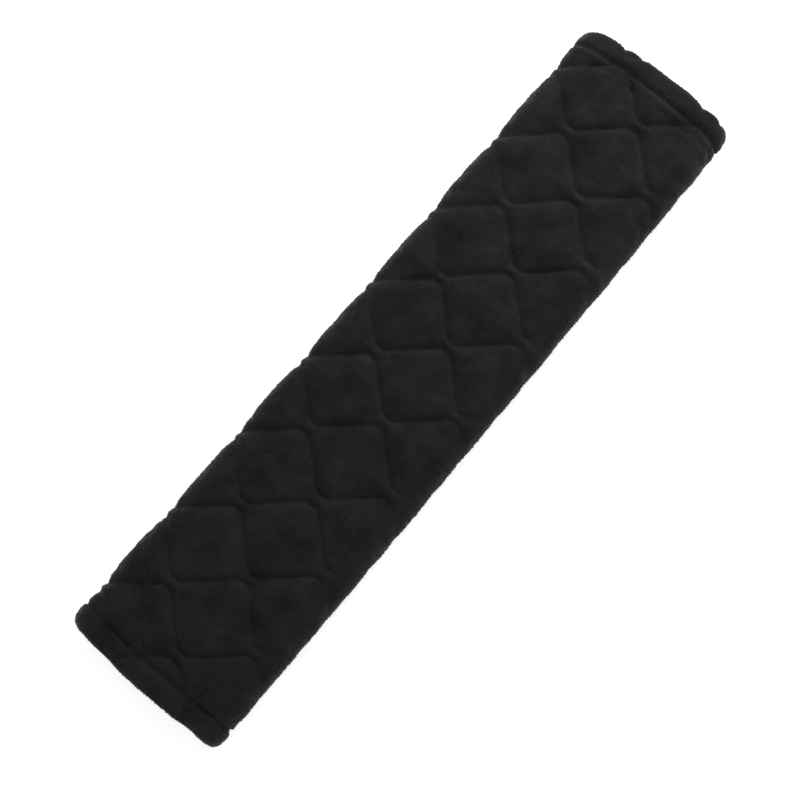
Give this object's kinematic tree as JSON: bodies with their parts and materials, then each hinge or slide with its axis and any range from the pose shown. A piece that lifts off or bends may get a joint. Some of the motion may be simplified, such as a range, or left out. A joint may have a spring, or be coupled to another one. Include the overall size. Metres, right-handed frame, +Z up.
{
  "type": "seat belt shoulder pad",
  "caption": "Quilted black plush pad folded round a seat belt at the shoulder, hemmed at both ends and closed underneath by lapped hook and loop tapes.",
  "frame": {"origin": "middle of the underside, the face the pad lies on with its closure down", "axes": "+X along the pad and the belt in it, +Y across the belt towards the open edge of the lap, +Z up through the padded front"},
  "size_m": [0.28, 0.0676, 0.0231],
  "materials": {
    "plush": "short black pile, matt with a soft sheen",
    "wadding": "white carded polyester fibre",
    "lining": "smooth black warp knit",
    "loop_tape": "brushed black loop pile",
    "hook_tape": "black moulded hooks on a woven base"
  },
  "bodies": {
    "root": {"plush_cover": "plush", "wadding": "wadding", "lining": "lining", "loop_tape": "loop_tape", "hook_tape": "hook_tape"}
  },
  "joints": []
}
